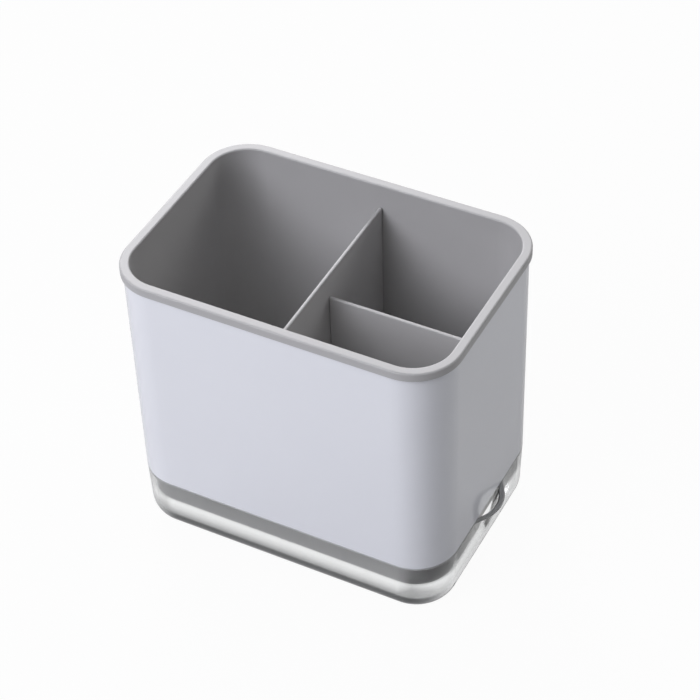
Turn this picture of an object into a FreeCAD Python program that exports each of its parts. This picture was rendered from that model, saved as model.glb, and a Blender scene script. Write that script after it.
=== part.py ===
import FreeCAD, Part
import math
import os
import Sketcher

# Driving sizes in millimetres
SIZES = {
    "overall_height": 135.0,        # table to the top of the basket's rim
    "rim_length": 145.0,            # outside of the basket's rim, left to right
    "rim_depth": 100.0,             # outside of the basket's rim, front to back
    "rim_corner": 20.0,             # outside corner radius of the rim, seen from above
    "rim_height": 3.6,              # the rim's turned-down skirt, top to lower edge
    "rim_plate": 1.6,               # flat top of the rim
    "rim_skirt": 0.9,               # thickness of the turned-down skirt
    "rim_round": 0.8,               # rounding of the rim's outer top edge
    "rim_inner_round": 0.7,         # rounding of the rim's inner top edge
    "seat_clearance": 0.25,         # gap on each side of the shell's top edge inside the rim
    "shell_wall": 1.4,              # wall of the white shell
    "shell_draft": 0.35,            # how far the shell narrows on each side towards the tray
    "shell_round": 0.3,             # rounding of the shell's lower edges
    "tray_height": 27.4,            # table to the tray's rim, which the shell stands on
    "tray_wall": 2.0,               # walls and floor of the tray
    "tray_draft": 1.0,              # how far the tray narrows on each side towards the table
    "tray_heel": 9.0,               # rounding between the tray's wall and its underside
    "spout_reach": 5.6,             # how far the lip stands out from the tray's right wall
    "spout_lip_radius": 17.0,       # the lip's radius at the top, seen from above
    "spout_root_radius": 12.5,      # the spout's radius where it leaves the wall
    "spout_root_rise": 3.0,         # start of the spout above the rounded heel
    "foot_depth": 12.5,             # how far the basket reaches down into the tray
    "foot_round": 2.5,              # rounding of the basket's lower outer edge
    "basket_wall": 1.2,             # walls and floor of the basket
    "basket_draft": 1.75,           # how far the basket narrows on each side towards its floor
    "drain_hole": 6.0,              # diameter of the floor's drain holes
    "drain_margin": 9.0,            # hole centres to the walls and channels around them
    "divider_thickness": 1.5,       # thickness of both dividers
    "divider_round": 0.6,           # rounding of the dividers' top edges
    "long_divider_drop": 11.0,      # rim top to the long divider's top edge
    "long_divider_offset": 0.5,     # long divider's middle to the right of the basket's middle
    "cross_divider_drop": 21.7,     # rim top to the cross divider's top edge
    "cross_divider_offset": -1.0,   # cross divider behind the basket's middle, less than 0 in front
    "slide_clearance": 0.3,         # gap between a divider and what guides it
    "guide_rib": 1.2,               # thickness of the ribs beside a divider
    "guide_depth": 2.5,             # how far a wall guide stands out from its wall
    "guide_height": 24.0,           # height of the wall guides above the floor
    "channel_height": 3.0,          # height of the floor channels that the dividers stand in
}

# Drain holes: columns left to right and rows front to back in each compartment
LEFT_HOLES = (4, 6)
RIGHT_HOLES = (4, 3)

# Outlines as distances inside the rim's outer outline
SHELL_TOP = "sizes.rim_skirt + sizes.seat_clearance"
SHELL_BASE = SHELL_TOP + " + sizes.shell_draft"
BASKET_TOP = SHELL_TOP + " + sizes.shell_wall + sizes.seat_clearance"
CAVITY_TOP = BASKET_TOP + " + sizes.basket_wall"
CAVITY_BASE = CAVITY_TOP + " + sizes.basket_draft"

# Heights and lengths that follow from the driving sizes
SHELL_HEIGHT = "sizes.overall_height - sizes.rim_plate - sizes.tray_height"
FOOT_LEVEL = "sizes.tray_height - sizes.foot_depth"
FLOOR_LEVEL = FOOT_LEVEL + " + sizes.basket_wall"
BASKET_HEIGHT = "sizes.overall_height - sizes.tray_height + sizes.foot_depth"
CAVITY_HEIGHT = BASKET_HEIGHT + " - sizes.basket_wall"
CAVITY_LEAN = f"(sizes.basket_draft / ({BASKET_HEIGHT}))"
FLOOR_HALF_LENGTH = f"sizes.rim_length / 2 - ({CAVITY_BASE})"
FLOOR_HALF_DEPTH = f"sizes.rim_depth / 2 - ({CAVITY_BASE})"
LONG_HEIGHT = CAVITY_HEIGHT + " - sizes.long_divider_drop"
CROSS_HEIGHT = CAVITY_HEIGHT + " - sizes.cross_divider_drop"
CROSS_START = "sizes.long_divider_offset + sizes.divider_thickness / 2 + sizes.slide_clearance"
RIB_INSIDE = "(sizes.divider_thickness / 2 + sizes.slide_clearance)"
RIB_OUTSIDE = "(sizes.divider_thickness / 2 + sizes.slide_clearance + sizes.guide_rib)"

UP = FreeCAD.Vector(0, 0, 1)
NEAR = 0.01
CUBIC_MM_PER_CM = 1000


def fill_sheet(doc):
    """Write every driving size into the sheet, one named cell to a row."""
    sheet = doc.addObject("Spreadsheet::Sheet", "sizes")
    for row, (alias, value) in enumerate(SIZES.items(), start=1):
        sheet.set(f"A{row}", alias)
        sheet.set(f"B{row}", str(value))
        sheet.setAlias(f"B{row}", alias)
    doc.recompute()


def new_body(doc, label):
    """An empty body with its own label."""
    body = doc.addObject("PartDesign::Body", label)
    body.Label = label
    return body


def new_sketch(body, name, level="0", plane="XY_Plane"):
    """A sketch on one of the body's origin planes, moved along the plane's normal to a level."""
    sketch = body.newObject("Sketcher::SketchObject", name)
    support = [feature for feature in body.Origin.OriginFeatures if feature.Role == plane]
    sketch.AttachmentSupport = (support[0], "")
    sketch.MapMode = "FlatFace"
    sketch.setExpression("AttachmentOffset.Base.z", level)
    return sketch


def number(item, expression):
    """The present value of an expression, worked out in a sketch or feature."""
    return float(item.evalExpression(expression))


def drive(sketch, constraint, expression):
    """Add a dimension to the sketch and bind it to an expression."""
    index = sketch.addConstraint(constraint)
    name = f"size_{index}"
    sketch.renameConstraint(index, name)
    sketch.setExpression(f"Constraints.{name}", expression)


def draw_rounded_outline(sketch, inset):
    """A rounded rectangle that lies inset inside the rim's outer outline."""
    half_length = f"sizes.rim_length / 2 - ({inset})"
    half_depth = f"sizes.rim_depth / 2 - ({inset})"
    corner = f"sizes.rim_corner - ({inset})"
    reach_x = number(sketch, half_length)
    reach_y = number(sketch, half_depth)
    radius = number(sketch, corner)
    quarters = []
    for quarter, (side_x, side_y) in enumerate(((1, 1), (-1, 1), (-1, -1), (1, -1))):
        centre = FreeCAD.Vector(side_x * (reach_x - radius), side_y * (reach_y - radius), 0)
        start = quarter * math.pi / 2
        quarters.append(Part.ArcOfCircle(Part.Circle(centre, UP, radius), start, start + math.pi / 2))
    arcs = [sketch.addGeometry(arc) for arc in quarters]
    lines = []
    for here, after in zip(quarters, quarters[1:] + quarters[:1]):
        lines.append(sketch.addGeometry(Part.LineSegment(here.EndPoint, after.StartPoint)))
    for arc, line, next_arc in zip(arcs, lines, arcs[1:] + arcs[:1]):
        sketch.addConstraint(Sketcher.Constraint("Tangent", arc, 2, line, 1))
        sketch.addConstraint(Sketcher.Constraint("Tangent", line, 2, next_arc, 1))
    for direction, line in zip(("Horizontal", "Vertical", "Horizontal", "Vertical"), lines):
        sketch.addConstraint(Sketcher.Constraint(direction, line))
    for arc in arcs[1:]:
        sketch.addConstraint(Sketcher.Constraint("Equal", arcs[0], arc))
    back, left, front, right = lines
    drive(sketch, Sketcher.Constraint("Radius", arcs[0], radius), corner)
    drive(sketch, Sketcher.Constraint("DistanceY", -1, 1, back, 1, reach_y), half_depth)
    drive(sketch, Sketcher.Constraint("DistanceX", left, 1, -1, 1, reach_x), half_length)
    drive(sketch, Sketcher.Constraint("DistanceY", front, 1, -1, 1, reach_y), half_depth)
    drive(sketch, Sketcher.Constraint("DistanceX", -1, 1, right, 1, reach_x), half_length)


def draw_polygon(sketch, corners):
    """A closed polygon whose corners are pairs of expressions."""
    points = [FreeCAD.Vector(number(sketch, x), number(sketch, y), 0) for x, y in corners]
    lines = []
    for here, after in zip(points, points[1:] + points[:1]):
        lines.append(sketch.addGeometry(Part.LineSegment(here, after)))
    for line, next_line in zip(lines, lines[1:] + lines[:1]):
        sketch.addConstraint(Sketcher.Constraint("Coincident", line, 2, next_line, 1))
    for line, point, (x, y) in zip(lines, points, corners):
        drive(sketch, Sketcher.Constraint("DistanceX", -1, 1, line, 1, point.x), x)
        drive(sketch, Sketcher.Constraint("DistanceY", -1, 1, line, 1, point.y), y)


def draw_rectangle(sketch, left, right, front, back):
    """A rectangle between four expressions."""
    draw_polygon(sketch, ((left, front), (right, front), (right, back), (left, back)))


def draw_circle(sketch, centre_x, centre_y, radius):
    """A circle whose centre and radius are expressions."""
    centre = FreeCAD.Vector(number(sketch, centre_x), number(sketch, centre_y), 0)
    circle = sketch.addGeometry(Part.Circle(centre, UP, number(sketch, radius)))
    drive(sketch, Sketcher.Constraint("Radius", circle, number(sketch, radius)), radius)
    drive(sketch, Sketcher.Constraint("DistanceX", -1, 1, circle, 3, centre.x), centre_x)
    drive(sketch, Sketcher.Constraint("DistanceY", -1, 1, circle, 3, centre.y), centre_y)


def outline_sketch(body, name, level, *insets):
    """A sketch with one rounded outline for each inset."""
    sketch = new_sketch(body, name, level)
    for inset in insets:
        draw_rounded_outline(sketch, inset)
    return sketch


def loft(body, kind, name, lower, upper):
    """A straight loft between two sketches, added to the body or cut from it."""
    feature = body.newObject(f"PartDesign::{kind}", name)
    feature.Profile = lower
    feature.Sections = [upper]
    feature.Ruled = True
    return feature


def pad(body, name, sketch, length):
    """A pad along the sketch's normal."""
    feature = body.newObject("PartDesign::Pad", name)
    feature.Profile = sketch
    feature.setExpression("Length", length)
    return feature


def pocket(body, name, sketch, length, upwards):
    """A pocket cut down or up from its sketch; stops if it takes nothing away."""
    body.Document.recompute()
    volume = body.Shape.Volume
    feature = body.newObject("PartDesign::Pocket", name)
    feature.Profile = sketch
    feature.Reversed = upwards
    feature.setExpression("Length", length)
    body.Document.recompute()
    if body.Shape.Volume > volume - NEAR:
        raise RuntimeError(f"{name} cuts nothing")
    return feature


def stop_if_failed(doc):
    """Stop if any object of the document could not be worked out."""
    for item in doc.Objects:
        if "Invalid" in item.State or "Error" in item.State:
            raise RuntimeError(f"{item.Name} failed: {item.State}")


def names_where(feature, kind, wanted):
    """Names of the feature's edges or faces for which wanted holds."""
    feature.Document.recompute()
    stop_if_failed(feature.Document)
    found = enumerate(getattr(feature.Shape, kind + "s"), start=1)
    names = [f"{kind}{place}" for place, item in found if wanted(item)]
    if not names:
        raise RuntimeError(f"{feature.Name}: no such {kind}")
    return names


def round_edges(body, name, base, wanted, radius):
    """Round the edges of the last feature for which wanted holds."""
    names = names_where(base, "Edge", wanted)
    feature = body.newObject("PartDesign::Fillet", name)
    feature.Base = (base, names)
    feature.setExpression("Radius", radius)
    return feature


def stands_on(face, level):
    """Whether a face rises from the level plane."""
    box = face.BoundBox
    return abs(box.ZMin - level) < NEAR and box.ZLength > NEAR


def lies_at(shape, level):
    """Whether the whole edge or face lies in the level plane."""
    box = shape.BoundBox
    return abs(box.ZMin - level) < NEAR and abs(box.ZMax - level) < NEAR


def on_loop(feature, level, outer):
    """A test for the edges of the outer loop, or of the inner loops, of the face that lies at the level."""
    place = names_where(feature, "Face", lambda face: lies_at(face, level))[0]
    face = feature.Shape.getElement(place)
    loops = [wire for wire in face.Wires if wire.isSame(face.OuterWire) == outer]
    ring = [edge for wire in loops for edge in wire.Edges]
    return lambda edge: any(edge.isSame(member) for member in ring)


def hollow(body, name, base, is_open, wall):
    """Hollow the last feature out to an even wall, open at the faces for which is_open holds."""
    names = names_where(base, "Face", is_open)
    feature = body.newObject("PartDesign::Thickness", name)
    feature.Base = (base, names)
    feature.Reversed = True
    feature.setExpression("Value", wall)
    return feature


def draft_sides(body, name, base, is_side, neutral_level, angle, outer):
    """Lean the outer or inner sides of the last feature inwards below the neutral level."""
    feature = body.newObject("PartDesign::Draft", name)
    feature.Base = (base, names_where(base, "Face", is_side))
    feature.NeutralPlane = (base, names_where(base, "Face", lambda face: lies_at(face, neutral_level))[:1])
    feature.Reversed = outer
    feature.setExpression("Angle", angle)
    return feature


def drafted_block(body, name, inset, height, narrowing):
    """A rounded block that narrows on each side from its top outline towards its base."""
    outline = outline_sketch(body, f"{name}_outline", "0", inset)
    block = pad(body, f"{name}_block", outline, height)
    top = number(outline, height)
    return draft_sides(body, f"{name}_draft", block, lambda face: face.BoundBox.ZLength > top / 2, top,
                       f"atan({narrowing} / ({height}))", outer=True)


def build_tray(doc):
    """The clear drip tray with a pouring spout in its right wall."""
    body = new_body(doc, "drip_tray")
    top = "sizes.tray_height"
    lip_centre = f"sizes.rim_length / 2 - ({SHELL_BASE}) + sizes.spout_reach - sizes.spout_lip_radius"
    root_centre = f"sizes.rim_length / 2 - ({SHELL_BASE}) - sizes.tray_wall - sizes.spout_root_radius"
    root_level = "sizes.tray_heel + sizes.spout_root_rise"

    drafted_block(body, "tray", SHELL_BASE, top, "sizes.tray_draft")
    spout_low = new_sketch(body, "spout_low", root_level)
    draw_circle(spout_low, root_centre, "0", "sizes.spout_root_radius")
    spout_high = new_sketch(body, "spout_high", top)
    draw_circle(spout_high, lip_centre, "0", "sizes.spout_lip_radius")
    loft(body, "AdditiveLoft", "spout_block", spout_low, spout_high)

    inner_top = outline_sketch(body, "tray_inside_outline", top, SHELL_BASE + " + sizes.tray_wall")
    well = pocket(body, "tray_well", inner_top, f"{top} - sizes.tray_wall", upwards=False)
    floor = number(inner_top, "sizes.tray_wall")
    height = number(inner_top, top)
    inside = draft_sides(body, "tray_inside_draft", well, lambda face: stands_on(face, floor), height,
                         f"atan(sizes.tray_draft / {top})", outer=False)
    round_edges(body, "tray_floor_rounding", inside, lambda edge: lies_at(edge, floor),
                "sizes.tray_heel - sizes.tray_wall")
    mouth_low = new_sketch(body, "mouth_low", root_level)
    draw_circle(mouth_low, root_centre, "0", "sizes.spout_root_radius - sizes.tray_wall")
    mouth_high = new_sketch(body, "mouth_high", top)
    draw_circle(mouth_high, lip_centre, "0", "sizes.spout_lip_radius - sizes.tray_wall")
    mouth = loft(body, "SubtractiveLoft", "spout_mouth", mouth_low, mouth_high)
    round_edges(body, "tray_heel_rounding", mouth, lambda edge: lies_at(edge, 0), "sizes.tray_heel")
    return body


def build_shell(doc):
    """The white outer shell: an open sleeve that stands on the tray's rim."""
    body = new_body(doc, "outer_shell")
    body.setExpression("Placement.Base.z", "sizes.tray_height")
    block = drafted_block(body, "shell", SHELL_TOP, SHELL_HEIGHT, "sizes.shell_draft")
    height = number(block, SHELL_HEIGHT)
    opening = hollow(body, "shell_opening", block,
                     lambda face: lies_at(face, 0) or lies_at(face, height), "sizes.shell_wall")
    round_edges(body, "shell_rounding", opening, lambda edge: lies_at(edge, 0), "sizes.shell_round")
    return body


def drain_holes(body, name, left, right, front, back, counts):
    """A grid of round drain holes in the floor between four expressions, hole centres at its edges."""
    columns, rows = counts
    sketch = new_sketch(body, f"{name}_hole")
    for column in range(columns):
        for row in range(rows):
            x = f"({left}) + (({right}) - ({left})) * {column} / {columns - 1}"
            y = f"({front}) + (({back}) - ({front})) * {row} / {rows - 1}"
            draw_circle(sketch, x, y, "sizes.drain_hole / 2")
    pocket(body, name, sketch, "sizes.basket_wall", upwards=True)


def build_basket(doc):
    """The grey basket: rim, walls, drain floor and the guides that hold the dividers."""
    body = new_body(doc, "basket")
    body.setExpression("Placement.Base.z", FOOT_LEVEL)
    block = drafted_block(body, "basket", BASKET_TOP, BASKET_HEIGHT, "sizes.basket_draft")
    height = number(block, BASKET_HEIGHT)
    foot = round_edges(body, "foot_rounding", block, lambda edge: lies_at(edge, 0), "sizes.foot_round")
    hollow(body, "basket_inside", foot, lambda face: lies_at(face, height), "sizes.basket_wall")
    plate = outline_sketch(body, "rim_plate_outline", BASKET_HEIGHT + " - sizes.rim_plate", "0", CAVITY_TOP)
    pad(body, "rim_plate_pad", plate, "sizes.rim_plate")
    skirt = outline_sketch(body, "rim_skirt_outline", BASKET_HEIGHT + " - sizes.rim_height",
                           "0", "sizes.rim_skirt")
    rim = pad(body, "rim_skirt_pad", skirt, "sizes.rim_height")
    outside = round_edges(body, "rim_rounding", rim, on_loop(rim, height, outer=True), "sizes.rim_round")
    round_edges(body, "rim_inner_rounding", outside, on_loop(outside, height, outer=False),
                "sizes.rim_inner_round")

    long_middle = "sizes.long_divider_offset"
    cross_middle = "sizes.cross_divider_offset"
    wall_right = f"{FLOOR_HALF_LENGTH} + sizes.basket_wall / 2"
    wall_back = f"{FLOOR_HALF_DEPTH} + sizes.basket_wall / 2"
    guide_right = f"{FLOOR_HALF_LENGTH} - sizes.guide_depth"
    guide_back = f"{FLOOR_HALF_DEPTH} - sizes.guide_depth"
    long_channel = new_sketch(body, "long_channel_ribs", "sizes.basket_wall / 2")
    cross_channel = new_sketch(body, "cross_channel_ribs", "sizes.basket_wall / 2")
    guides = new_sketch(body, "wall_guide_ribs", "sizes.basket_wall / 2")
    for near, far in ((f"- {RIB_OUTSIDE}", f"- {RIB_INSIDE}"), (f"+ {RIB_INSIDE}", f"+ {RIB_OUTSIDE}")):
        left = f"{long_middle} {near}"
        right = f"{long_middle} {far}"
        front = f"{cross_middle} {near}"
        back = f"{cross_middle} {far}"
        rib_middle = f"{long_middle} + {RIB_OUTSIDE} - sizes.guide_rib / 2"
        draw_rectangle(long_channel, left, right, f"-({wall_back})", wall_back)
        draw_rectangle(cross_channel, rib_middle, wall_right, front, back)
        draw_rectangle(guides, left, right, guide_back, wall_back)
        draw_rectangle(guides, left, right, f"-({wall_back})", f"-({guide_back})")
        draw_rectangle(guides, guide_right, wall_right, front, back)
    pad(body, "long_channel", long_channel, "sizes.basket_wall / 2 + sizes.channel_height")
    pad(body, "cross_channel", cross_channel, "sizes.basket_wall / 2 + sizes.channel_height")
    pad(body, "wall_guides", guides, "sizes.basket_wall / 2 + sizes.guide_height")

    margin = "sizes.drain_margin"
    outer_right = f"{FLOOR_HALF_LENGTH} - {margin}"
    outer_back = f"{FLOOR_HALF_DEPTH} - {margin}"
    right_start = f"{long_middle} + {RIB_OUTSIDE} + {margin}"
    left_end = f"{long_middle} - {RIB_OUTSIDE} - {margin}"
    back_start = f"{cross_middle} + {RIB_OUTSIDE} + {margin}"
    front_end = f"{cross_middle} - {RIB_OUTSIDE} - {margin}"
    drain_holes(body, "left_drain", f"-({outer_right})", left_end, f"-({outer_back})", outer_back, LEFT_HOLES)
    drain_holes(body, "back_drain", right_start, outer_right, back_start, outer_back, RIGHT_HOLES)
    drain_holes(body, "front_drain", right_start, outer_right, f"-({outer_back})", front_end, RIGHT_HOLES)
    return body


def build_long_divider(doc):
    """The plate from front to back, with two ribs on its right face that guide the cross divider."""
    body = new_body(doc, "long_divider")
    body.setExpression("Placement.Base.x", "sizes.long_divider_offset")
    body.setExpression("Placement.Base.z", FLOOR_LEVEL)
    foot = f"({FLOOR_HALF_DEPTH} - sizes.slide_clearance)"
    corner = f"({foot} + {CAVITY_LEAN} * sizes.foot_round)"
    head = f"({foot} + {CAVITY_LEAN} * ({LONG_HEIGHT}))"
    outline = new_sketch(body, "long_outline", "-sizes.divider_thickness / 2", "YZ_Plane")
    draw_polygon(outline, (
        (f"-{foot} + sizes.foot_round", "0"),
        (f"{foot} - sizes.foot_round", "0"),
        (corner, "sizes.foot_round"),
        (head, LONG_HEIGHT),
        (f"-{head}", LONG_HEIGHT),
        (f"-{corner}", "sizes.foot_round"),
    ))
    plate = pad(body, "long_plate", outline, "sizes.divider_thickness")
    height = number(outline, LONG_HEIGHT)
    round_edges(body, "long_rounding", plate,
                lambda edge: lies_at(edge, height) and edge.BoundBox.YLength > edge.BoundBox.XLength,
                "sizes.divider_round")
    ribs = new_sketch(body, "cross_guide_ribs", "sizes.channel_height + sizes.slide_clearance")
    middle = "sizes.cross_divider_offset"
    face = "sizes.divider_thickness / 2"
    for near, far in ((f"- {RIB_OUTSIDE}", f"- {RIB_INSIDE}"), (f"+ {RIB_INSIDE}", f"+ {RIB_OUTSIDE}")):
        draw_rectangle(ribs, "0", f"{face} + sizes.guide_depth", f"{middle} {near}", f"{middle} {far}")
    pad(body, "cross_guides", ribs, "sizes.guide_height")
    return body


def build_cross_divider(doc):
    """The short plate from the long divider to the right wall, notched over the floor channel's rib."""
    body = new_body(doc, "cross_divider")
    body.setExpression("Placement.Base.x", CROSS_START)
    body.setExpression("Placement.Base.y", "sizes.cross_divider_offset")
    body.setExpression("Placement.Base.z", FLOOR_LEVEL)
    foot = f"({FLOOR_HALF_LENGTH} - sizes.slide_clearance - ({CROSS_START}))"
    corner = f"({foot} + {CAVITY_LEAN} * sizes.foot_round)"
    head = f"({foot} + {CAVITY_LEAN} * ({CROSS_HEIGHT}))"
    notch = "sizes.guide_rib + sizes.slide_clearance"
    notch_height = "sizes.channel_height + sizes.slide_clearance"
    outline = new_sketch(body, "cross_outline", "-sizes.divider_thickness / 2", "XZ_Plane")
    draw_polygon(outline, (
        (notch, "0"),
        (f"{foot} - sizes.foot_round", "0"),
        (corner, "sizes.foot_round"),
        (head, CROSS_HEIGHT),
        ("0", CROSS_HEIGHT),
        ("0", notch_height),
        (notch, notch_height),
    ))
    plate = pad(body, "cross_plate", outline, "sizes.divider_thickness")
    height = number(outline, CROSS_HEIGHT)
    round_edges(body, "cross_rounding", plate,
                lambda edge: lies_at(edge, height) and edge.BoundBox.XLength > edge.BoundBox.YLength,
                "sizes.divider_round")
    return body


def check(doc, bodies):
    """Stop if any object failed or any piece is not one valid solid."""
    stop_if_failed(doc)
    for body in bodies:
        shape = body.Shape
        if shape.isNull() or not shape.isValid() or len(shape.Solids) != 1:
            raise RuntimeError(f"{body.Label} is not one valid solid")


def main():
    doc = FreeCAD.newDocument("cutlery_drainer")
    fill_sheet(doc)
    builders = (build_tray, build_shell, build_basket, build_long_divider, build_cross_divider)
    bodies = [build(doc) for build in builders]
    doc.recompute()
    check(doc, bodies)
    os.makedirs("parts", exist_ok=True)
    for body in bodies:
        body.Shape.exportStep(os.path.join("parts", f"{body.Label}.step"))
        box = body.Shape.optimalBoundingBox(False)
        print(f"{body.Label}: {body.Shape.Volume / CUBIC_MM_PER_CM:.1f} cm3,"
              f" x {box.XMin:.2f} to {box.XMax:.2f}, y {box.YMin:.2f} to {box.YMax:.2f},"
              f" z {box.ZMin:.2f} to {box.ZMax:.2f}")


main()
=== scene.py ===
import math

import bpy
import numpy as np
from mathutils import Matrix, Vector


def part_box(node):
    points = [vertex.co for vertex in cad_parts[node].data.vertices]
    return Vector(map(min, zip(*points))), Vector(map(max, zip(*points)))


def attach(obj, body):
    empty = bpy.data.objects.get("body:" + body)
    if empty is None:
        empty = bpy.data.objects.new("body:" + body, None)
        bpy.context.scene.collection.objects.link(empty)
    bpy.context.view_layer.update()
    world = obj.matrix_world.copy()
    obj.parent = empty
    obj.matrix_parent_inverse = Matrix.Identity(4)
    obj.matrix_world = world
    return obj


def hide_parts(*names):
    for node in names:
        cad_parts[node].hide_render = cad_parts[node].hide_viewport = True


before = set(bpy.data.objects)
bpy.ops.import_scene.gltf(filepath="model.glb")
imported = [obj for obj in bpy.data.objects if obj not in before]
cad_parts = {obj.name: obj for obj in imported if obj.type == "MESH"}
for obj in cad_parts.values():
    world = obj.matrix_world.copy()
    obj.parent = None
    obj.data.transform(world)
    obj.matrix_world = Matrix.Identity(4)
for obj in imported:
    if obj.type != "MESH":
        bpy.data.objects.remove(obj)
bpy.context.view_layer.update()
MM = 0.001

# Drip tray: its box is read from its mesh in model.glb, the rest is in metres
TRAY_CORNER = 18.5 * MM        # corner radius of the rim, seen from above
TRAY_WALL = 2.0 * MM
TRAY_DRAFT = 1.0 * MM          # how far each wall leans in towards the table
TRAY_HEEL = 9.0 * MM           # outer rounding between wall and underside
TRAY_LIP_ROUND = 0.6 * MM      # rounding of the rim's two edges
SPOUT_LIP_RADIUS = 17.0 * MM   # the pouring lip, seen from above
SPOUT_ROOT_RADIUS = 12.5 * MM  # the spout where it leaves the wall
SPOUT_ROOT_LEVEL = 12.0 * MM
SPOUT_BLEND = 3.0 * MM         # width of the smooth change from wall to spout

# Fineness of the tray's mesh
SIDE_STEPS = (160, 40, 40, 40)  # along the right, back, left and front side
CORNER_STEPS = 28
HEEL_RINGS = 22
WALL_RINGS = 30
LIP_RINGS = 7                  # round each of the rim's two edges

# Painted shade on the clear tray: levels with their shares of painted shade, near the underside, where it
# stands in for the dark shadow that the heel reflects, and in the upper wall, where it darkens the grey band
# seen through it
HEEL_SHADE_LEVELS = (MM * np.array([0, 1.2, 5, 7, 10.5, 12, 13.5, 15.5, 17]),
              (0, 1, 1, 0.9, 0.8, 0.55, 0.3, 0.08, 0))
WALL_SHADE_LEVELS = (MM * np.array([17, 18.5]), (0, 0.3))

# Gain of the painted shade by the way a wall faces, which makes it follow how light falls around the tray, in
# degrees: 0 is right, -90 front, -180 left and 90 back
FACING = (-180, -150, -120, -90, -70, -45, 0, 90)
HEEL_GAIN = (0.4, 0.45, 0.65, 1, 1, 0.9, 0.2, 1)
HEEL_RISE = (1, 1, 1, 1, 1.4, 1.2, 1, 1)               # stretches the heel's levels upwards
WALL_GAIN = (1, 1.6, 1.2, 1, 1.7, 2.2, 2, 1)
RIGHT_WALL_GAIN = (MM * np.array([7, 27]), (0.5, 2))   # on the right side, by the distance from its middle

# Plastics: pairs are the two ends of a change, patterns are waves to the metre and detail
PLASTIC_IOR = 1.5
WHITE_COLOURS = ((0.88, 0.893, 0.938), (0.905, 0.918, 0.958))
WHITE_ROUGHNESS = (0.07, 0.11)
WHITE_CLOUD = (22, 2)
WHITE_RIPPLE = (160, 3)
WHITE_RIPPLE_DEPTH = 0.02 * MM
GREY_COLOURS = ((0.47, 0.465, 0.465), (0.5, 0.495, 0.495))
GREY_ROUGHNESS = (0.42, 0.52)
GREY_CLOUD = (30, 3)
GREY_GRAIN = (2600, 2)
GREY_GRAIN_DEPTH = 0.02 * MM
CLEAR_COLOUR = (0.97, 0.975, 0.975)
# painted shade: the near-black that the tray's clear colour turns to where its mesh carries painted shade
PAINTED_SHADE_COLOUR = (0.05, 0.052, 0.054)
# painted edge shade: grey laid on the clear colour where the surface turns away, standing in for dark
# surroundings seen at grazing angles
EDGE_SHADE_COLOUR = (0.5, 0.51, 0.51)
EDGE_BLEND = 0.5
EDGE_SPAN = (0.72, 0.98)       # share of turning away over which the painted edge shade comes in
# painted shade on the lip: a light grey, less clear rim that stands in for the dark lines the clear lip shows
LIP_SHADE_COLOUR = (0.8, 0.81, 0.82)
LIP_SHADE_CLEARNESS = 0.55          # share of light that still passes the lip where its painted shade lies
CLEAR_ROUGHNESS = (0.0, 0.03)
CLEAR_CLOUD = (40, 2)
CLEAR_RIPPLE = (120, 2)
CLEAR_RIPPLE_DEPTH = 0.01 * MM
CLEAR_GLOSS = 0.25
CLEAR_SHADOW = (0.4, 0.41, 0.42, 1)

# Camera: place, aim and roll found by fitting the rim, shell and tray edges
CAMERA_PLACE = Vector((0.3307, -0.5870, 0.7005))
CAMERA_AIM = Vector((-0.00513, 0.02571, 0.0600))
CAMERA_ROLL = math.radians(-2.2045)
CAMERA_LENS = 116.37
CAMERA_SENSOR = 36.0

# Studio: lamps as place, side, power and colour
LAMP_AIM = Vector((0, 0, 0.08))
LAMPS = {
    "front_left_softbox": ((-0.66, -1.26, 1.25), 1.3, 27.0, (0.93, 0.935, 1.0)),
    "back_left_softbox": ((-1.50, 1.80, 1.45), 1.4, 54.0, (0.98, 0.975, 1.0)),
    "back_right_softbox": ((1.1, 1.2, 0.9), 0.9, 6.0, (1, 1, 1)),
    "top_softbox": ((0.1, -0.1, 1.4), 1.4, 3.0, (1, 1, 1)),
}
FLOOR_COLOUR = (0.6, 0.6, 0.6, 1)
FLOOR_ROUGHNESS = 0.9
FLOOR_GLOW = 0.96              # share of plain white that the camera sees on the floor
MIRROR_GLOW = 0.25             # the same share in gloss, where the object's own shade shows
FLOOR_HALF = 4.0
FLOOR_GAP = 0.2 * MM


def mesh_piece(name, points, faces, material, smooth=True):
    """A mesh object from an array of points and an array or list of faces."""
    mesh = bpy.data.meshes.new(name)
    mesh.from_pydata(points.tolist(), [], [list(face) for face in faces])
    mesh.polygons.foreach_set("use_smooth", np.full(len(mesh.polygons), smooth))
    mesh.materials.append(material)
    mesh.update()
    piece = bpy.data.objects.new(name, mesh)
    bpy.context.scene.collection.objects.link(piece)
    return piece


def rounded_path(half_length, half_depth, corner, side_steps, corner_steps):
    """Centres and outward normals along a rounded rectangle, anticlockwise from the right side's front end.

    A point inset by d lies at centre + (corner - d) * normal: on a straight side the centre travels and
    the normal stands still, in a corner the normal turns and the centre stands still.
    """
    inner_x = half_length - corner
    inner_y = half_depth - corner
    corners = np.array([[1, -1], [1, 1], [-1, 1], [-1, -1]]) * [inner_x, inner_y]
    centres = []
    normals = []
    for side, count in enumerate(side_steps):
        share = np.linspace(0, 1, count, endpoint=False)[:, None]
        start = corners[side]
        end = corners[(side + 1) % 4]
        centres.append(start + (end - start) * share)
        normals.append(np.tile([math.cos(side * math.pi / 2), math.sin(side * math.pi / 2)], (count, 1)))
        turn = side * math.pi / 2 + np.linspace(0, math.pi / 2, corner_steps, endpoint=False)
        centres.append(np.tile(end, (corner_steps, 1)))
        normals.append(np.column_stack([np.cos(turn), np.sin(turn)]))
    return np.concatenate(centres), np.concatenate(normals)


def ring_faces(rings, steps):
    """Quads between neighbouring rings of a closed path, in the order that the rings are stacked."""
    ring = np.arange(rings - 1)[:, None] * steps
    here = np.arange(steps)[None, :]
    after = (here + 1) % steps
    quads = np.stack([ring + here, ring + after, ring + steps + after, ring + steps + here], axis=-1)
    return quads.reshape(-1, 4)


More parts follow.
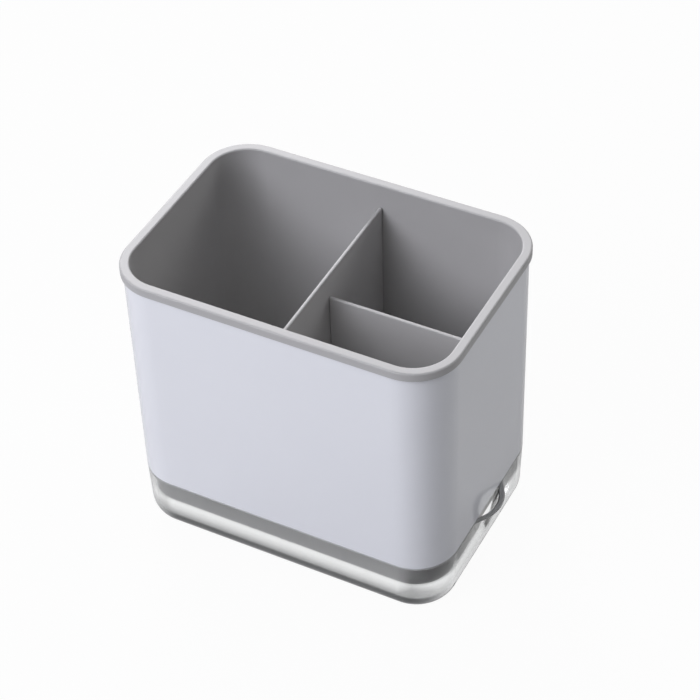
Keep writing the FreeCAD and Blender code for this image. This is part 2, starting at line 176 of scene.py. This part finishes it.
def smooth_max(a, b, width):
    """The larger of two values, with a rounded change where they are closer than width.

    There it is raised by a quarter of the width times the square of (1 - gap / width).
    """
    near = np.maximum(width - np.abs(a - b), 0) / width
    return np.maximum(a, b) + near * near * width / 4


def wall_section(wall, height):
    """Insets and heights of a skin, wall inside the outside: a quarter round heel, then the leaning wall.

    The inset is wall + draft * (1 - z / height), and the heel is the circle that touches it and the floor.
    """
    heel = TRAY_HEEL - wall
    slope = TRAY_DRAFT / height
    centre_inset = heel * math.hypot(1, slope) + wall + TRAY_DRAFT - slope * (wall + heel)
    turn = np.linspace(-math.pi / 2, -math.atan(slope), HEEL_RINGS)
    heel_inset = centre_inset - heel * np.cos(turn)
    heel_level = wall + heel + heel * np.sin(turn)
    level = np.linspace(heel_level[-1], height, WALL_RINGS + 1)[1:]
    inset = wall + TRAY_DRAFT * (1 - level / height)
    return np.concatenate([heel_inset, inset]), np.concatenate([heel_level, level])


def tray_rings(inset, level, path, box, wall):
    """Rings of a skin of the tray: the outline at each inset and level, swelled by the spout.

    The spout is a cone of circles that grow from the root level to the rim, smaller by wall for the inner
    skin; the skin takes the larger reach of outline and cone, with a rounded change between them.
    """
    centres, normals = path
    low, high = box
    reach = (TRAY_CORNER - inset)[:, None]
    x = centres[:, 0] + reach * normals[:, 0]
    y = centres[:, 1] + reach * normals[:, 1]
    rise = ((level - SPOUT_ROOT_LEVEL) / (high.z - SPOUT_ROOT_LEVEL))[:, None]
    radius = SPOUT_ROOT_RADIUS + (SPOUT_LIP_RADIUS - SPOUT_ROOT_RADIUS) * rise
    root_centre = -low.x - TRAY_WALL - SPOUT_ROOT_RADIUS
    lip_centre = high.x - SPOUT_LIP_RADIUS
    centre = root_centre + (lip_centre - root_centre) * rise
    across = np.maximum((radius - wall) ** 2 - y * y, 0)
    swelled = smooth_max(x, centre + np.sqrt(across), SPOUT_BLEND)
    x = np.where((x > 0) & (across > 0), swelled, x)
    return np.stack([x, y, np.broadcast_to(level[:, None], x.shape)], axis=-1)


def plan_normals(rings):
    """Outward normals of each ring, seen from above, from the line between a point's two neighbours."""
    along = np.roll(rings, -1, axis=1) - np.roll(rings, 1, axis=1)
    normal = np.stack([along[..., 1], -along[..., 0], np.zeros(along.shape[:2])], axis=-1)
    return normal / np.linalg.norm(normal, axis=-1, keepdims=True)


def rounded_lip(ring, inwards, radius, steps):
    """Rings of a quarter round that leads from a wall's top ring to the flat of the rim.

    At turn t a ring lies radius * (1 - cos t) in from the wall and radius * (1 - sin t) below the rim.
    """
    turn = np.linspace(0, math.pi / 2, steps)[:, None, None]
    step = plan_normals(ring[None]) * radius * (1 - np.cos(turn)) * inwards
    rise = np.array([0, 0, radius]) * np.sin(turn)
    return ring - np.array([0, 0, radius]) - step + rise


def tray_skin(path, box, wall):
    """A skin of the tray, wall inside its outside: rings below the lip, their levels, and the lip's rings."""
    height = box[1].z
    inset, level = wall_section(wall, height)
    rings = tray_rings(inset, level, path, box, wall)
    lip = rounded_lip(rings[-1], -1 if wall else 1, TRAY_LIP_ROUND, LIP_RINGS)
    below_lip = level < height - TRAY_LIP_ROUND
    return rings[below_lip], level[below_lip], lip


def gain_by_facing(path, gains):
    """The gain at each step along the path, by the way the wall faces there."""
    normals = path[1]
    facing = np.degrees(np.arctan2(normals[:, 1], normals[:, 0]))
    return np.interp(facing, FACING, gains, period=360)


def heel_painted_shade(level, path):
    """Painted shade near the underside, for the dark shadow that the heel reflects: the heel's curve over the
    level, stretched by its rise, times its gain.
    """
    stretched = level[:, None] / gain_by_facing(path, HEEL_RISE)
    return np.interp(stretched, *HEEL_SHADE_LEVELS) * gain_by_facing(path, HEEL_GAIN)


def wall_painted_shade(level, path):
    """Painted shade in the upper wall, over the band seen through it: its curve over the level times its
    gain, which varies along the right side.
    """
    centres, normals = path
    faces_right = normals[:, 0] == 1
    along_right = np.interp(np.abs(centres[:, 1]), *RIGHT_WALL_GAIN)
    gain = np.where(faces_right, along_right, gain_by_facing(path, WALL_GAIN))
    return np.interp(level, *WALL_SHADE_LEVELS)[:, None] * gain


def build_tray(material):
    """The clear drip tray: outer skin, rounded rim and inner skin as one surface, closed by two flat fans."""
    low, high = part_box("drip_tray")
    path = rounded_path(-low.x, high.y, TRAY_CORNER, SIDE_STEPS, CORNER_STEPS)
    steps = len(path[0])
    outer, outer_level, outer_lip = tray_skin(path, (low, high), 0)
    inner, inner_level, inner_lip = tray_skin(path, (low, high), TRAY_WALL)
    skin = np.concatenate([outer, outer_lip, inner_lip[::-1], inner[::-1]])
    # painted shade: dark at the heel and over the band seen through the upper wall, stronger or weaker by
    # side as light falls
    outside = heel_painted_shade(outer_level, path) + wall_painted_shade(outer_level, path)
    inside = wall_painted_shade(inner_level[::-1], path)
    lip = np.zeros((2 * LIP_RINGS, steps))
    painted_shade_share = np.concatenate([outside, lip, inside])
    # painted shade on the lip's rings
    lip_shade = np.concatenate([0 * outside, lip + 1, 0 * inside])
    first = np.arange(steps)
    last = first + (len(skin) - 1) * steps
    middle_below = len(skin) * steps
    middle_above = middle_below + 1
    points = np.concatenate([skin.reshape(-1, 3), [[0, 0, 0], [0, 0, TRAY_WALL]]])
    faces = ring_faces(len(skin), steps).tolist()
    faces += np.column_stack([np.roll(first, -1), first, np.full(steps, middle_below)]).tolist()
    faces += np.column_stack([last, np.roll(last, -1), np.full(steps, middle_above)]).tolist()
    piece = mesh_piece("drip_tray_clear", points, faces, material)
    for name, shares in (("painted_shade_share", painted_shade_share), ("lip_painted_shade", lip_shade)):
        stored = piece.data.attributes.new(name, "FLOAT", "POINT")
        stored.data.foreach_set("value", np.append(shares, [0, 0]))
    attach(piece, "drip_tray")
    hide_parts("drip_tray")


def new_material(name):
    """A node material with its nodes, its links and its shader."""
    material = bpy.data.materials.new(name)
    material.use_nodes = True
    nodes = material.node_tree.nodes
    return material, nodes, material.node_tree.links, nodes["Principled BSDF"]


def noise(nodes, links, scale, detail):
    """A noise pattern on Object coordinates, scale in waves to the metre."""
    place = nodes.new("ShaderNodeTexCoord")
    pattern = nodes.new("ShaderNodeTexNoise")
    pattern.inputs["Scale"].default_value = scale
    pattern.inputs["Detail"].default_value = detail
    links.new(place.outputs["Object"], pattern.inputs["Vector"])
    return pattern.outputs["Fac"]


def between(nodes, links, share, low, high, start=0, end=1):
    """A value that runs from low to high as the share runs from start to end."""
    ramp = nodes.new("ShaderNodeMapRange")
    ramp.inputs["From Min"].default_value = start
    ramp.inputs["From Max"].default_value = end
    ramp.inputs["To Min"].default_value = low
    ramp.inputs["To Max"].default_value = high
    links.new(share, ramp.inputs["Value"])
    return ramp.outputs["Result"]


def between_colours(nodes, links, share, low, high):
    """A colour that runs with the share from low, which is a colour or another node's output, to high."""
    mix = nodes.new("ShaderNodeMix")
    mix.data_type = "RGBA"
    if isinstance(low, tuple):
        mix.inputs["A"].default_value = (*low, 1)
    else:
        links.new(low, mix.inputs["A"])
    mix.inputs["B"].default_value = (*high, 1)
    links.new(share, mix.inputs["Factor"])
    return mix.outputs["Result"]


def stored_share(nodes, name):
    """A value stored on the mesh's points."""
    stored = nodes.new("ShaderNodeAttribute")
    stored.attribute_name = name
    return stored.outputs["Fac"]


def grain(nodes, links, height, depth):
    """A normal from a height pattern, depth in metres."""
    bump = nodes.new("ShaderNodeBump")
    bump.inputs["Distance"].default_value = depth
    links.new(height, bump.inputs["Height"])
    return bump.outputs["Normal"]


def opaque_plastic(name, colours, roughness, cloud_pattern, grain_pattern, depth):
    """Moulded plastic whose colour and gloss change a little from place to place, over a fine relief."""
    material, nodes, links, shader = new_material(name)
    cloud = noise(nodes, links, *cloud_pattern)
    links.new(between_colours(nodes, links, cloud, *colours), shader.inputs["Base Color"])
    links.new(between(nodes, links, cloud, *roughness), shader.inputs["Roughness"])
    links.new(grain(nodes, links, noise(nodes, links, *grain_pattern), depth), shader.inputs["Normal"])
    shader.inputs["IOR"].default_value = PLASTIC_IOR
    return material


def white_gloss_plastic():
    """Glossy white moulded plastic with a faint ripple in its polish."""
    return opaque_plastic("white_gloss_plastic", WHITE_COLOURS, WHITE_ROUGHNESS,
                          WHITE_CLOUD, WHITE_RIPPLE, WHITE_RIPPLE_DEPTH)


def grey_satin_plastic():
    """Satin grey moulded plastic with the fine grain of a spark-eroded mould."""
    return opaque_plastic("grey_satin_plastic", GREY_COLOURS, GREY_ROUGHNESS,
                          GREY_CLOUD, GREY_GRAIN, GREY_GRAIN_DEPTH)


def clear_plastic():
    """Clear polished plastic: darkened by painted shade where its mesh says so, greyer with painted shade at
    its turned edges, and grey and less clear with painted shade at the lip.
    """
    material, nodes, links, shader = new_material("clear_plastic")
    cloud = noise(nodes, links, *CLEAR_CLOUD)
    links.new(between(nodes, links, cloud, *CLEAR_ROUGHNESS), shader.inputs["Roughness"])
    ripple = noise(nodes, links, *CLEAR_RIPPLE)
    links.new(grain(nodes, links, ripple, CLEAR_RIPPLE_DEPTH), shader.inputs["Normal"])
    # painted shade stored on the mesh darkens the clear colour
    shaded_colour = between_colours(nodes, links, stored_share(nodes, "painted_shade_share"), CLEAR_COLOUR, PAINTED_SHADE_COLOUR)
    # painted edge shade: greyer where the surface turns away from the view
    turned = nodes.new("ShaderNodeLayerWeight")
    turned.inputs["Blend"].default_value = EDGE_BLEND
    edge = between(nodes, links, turned.outputs["Facing"], 0, 1, *EDGE_SPAN)
    edge_shaded_colour = between_colours(nodes, links, edge, shaded_colour, EDGE_SHADE_COLOUR)
    # painted shade on the lip: greyer and less clear
    lip_shade = stored_share(nodes, "lip_painted_shade")
    links.new(between_colours(nodes, links, lip_shade, edge_shaded_colour, LIP_SHADE_COLOUR), shader.inputs["Base Color"])
    links.new(between(nodes, links, lip_shade, 1, LIP_SHADE_CLEARNESS), shader.inputs["Transmission Weight"])
    shader.inputs["IOR"].default_value = PLASTIC_IOR
    shader.inputs["Specular IOR Level"].default_value = CLEAR_GLOSS
    rays = nodes.new("ShaderNodeLightPath")
    open_way = nodes.new("ShaderNodeBsdfTransparent")
    open_way.inputs["Color"].default_value = CLEAR_SHADOW
    mix = nodes.new("ShaderNodeMixShader")
    links.new(rays.outputs["Is Shadow Ray"], mix.inputs["Fac"])
    links.new(shader.outputs["BSDF"], mix.inputs[1])
    links.new(open_way.outputs["BSDF"], mix.inputs[2])
    links.new(mix.outputs["Shader"], nodes["Material Output"].inputs["Surface"])
    return material


def larger(nodes, links, first, second):
    """The larger of two values."""
    pick = nodes.new("ShaderNodeMath")
    pick.operation = "MAXIMUM"
    links.new(first, pick.inputs[0])
    links.new(second, pick.inputs[1])
    return pick.outputs["Value"]


def seen_directly(nodes, links, mirror):
    """1 for rays from the camera or through clear plastic, mirror for gloss, 0 for rays that only light."""
    rays = nodes.new("ShaderNodeLightPath")
    clear = larger(nodes, links, rays.outputs["Is Camera Ray"], rays.outputs["Is Transmission Ray"])
    return larger(nodes, links, clear, between(nodes, links, rays.outputs["Is Glossy Ray"], 0, mirror))


def floor_material():
    """A white floor: most of its white is its own, so that the object's shadow on it stays pale."""
    material, nodes, links, shader = new_material("studio_floor")
    shader.inputs["Base Color"].default_value = FLOOR_COLOUR
    shader.inputs["Roughness"].default_value = FLOOR_ROUGHNESS
    shader.inputs["Specular IOR Level"].default_value = 0
    glow = nodes.new("ShaderNodeEmission")
    mix = nodes.new("ShaderNodeMixShader")
    seen = seen_directly(nodes, links, MIRROR_GLOW / FLOOR_GLOW)
    links.new(between(nodes, links, seen, 0, FLOOR_GLOW), mix.inputs["Fac"])
    links.new(shader.outputs["BSDF"], mix.inputs[1])
    links.new(glow.outputs["Emission"], mix.inputs[2])
    links.new(mix.outputs["Shader"], nodes["Material Output"].inputs["Surface"])
    return material


def build_floor():
    """The plain floor, just under the tray."""
    corners = np.array([[-1, -1, 0], [1, -1, 0], [1, 1, 0], [-1, 1, 0]]) * FLOOR_HALF - [0, 0, FLOOR_GAP]
    floor = mesh_piece("studio_floor", corners, [[0, 1, 2, 3]], floor_material(), smooth=False)


def build_world():
    """A world that shows white behind the object, in its gloss and through it, and lights nothing else."""
    world = bpy.data.worlds.new("studio_world")
    bpy.context.scene.world = world
    world.use_nodes = True
    nodes = world.node_tree.nodes
    links = world.node_tree.links
    links.new(seen_directly(nodes, links, 1), nodes["Background"].inputs["Strength"])
    nodes["Background"].inputs["Color"].default_value = (1, 1, 1, 1)


def add_lamp(name, place, side, power, colour):
    """A square soft lamp aimed at the middle of the object."""
    lamp = bpy.data.lights.new(name, "AREA")
    lamp.size = side
    lamp.energy = power
    lamp.color = colour
    holder = bpy.data.objects.new(name, lamp)
    holder.location = place
    holder.rotation_mode = "QUATERNION"
    holder.rotation_quaternion = (LAMP_AIM - Vector(place)).to_track_quat("-Z", "Y")
    bpy.context.scene.collection.objects.link(holder)


def build_camera():
    """The camera at its place, turned to its aim and rolled a little."""
    camera = bpy.data.cameras.new("camera")
    camera.lens = CAMERA_LENS
    camera.sensor_width = CAMERA_SENSOR
    eye = bpy.data.objects.new("camera", camera)
    bpy.context.scene.collection.objects.link(eye)
    turn = (CAMERA_AIM - CAMERA_PLACE).to_track_quat("-Z", "Y").to_matrix().to_4x4()
    eye.matrix_world = Matrix.Translation(CAMERA_PLACE) @ turn @ Matrix.Rotation(CAMERA_ROLL, 4, "Z")
    bpy.context.scene.camera = eye
    bpy.context.scene.view_settings.view_transform = "Standard"


def dress(node, material):
    """Give a CAD node its finished material."""
    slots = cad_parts[node].data.materials
    slots.clear()
    slots.append(material)


white = white_gloss_plastic()
grey = grey_satin_plastic()
dress("outer_shell", white)
for grey_node in ("basket", "long_divider", "cross_divider"):
    dress(grey_node, grey)
build_tray(clear_plastic())
build_floor()
build_world()
for lamp_name, lamp_setting in LAMPS.items():
    add_lamp(lamp_name, *lamp_setting)
build_camera()
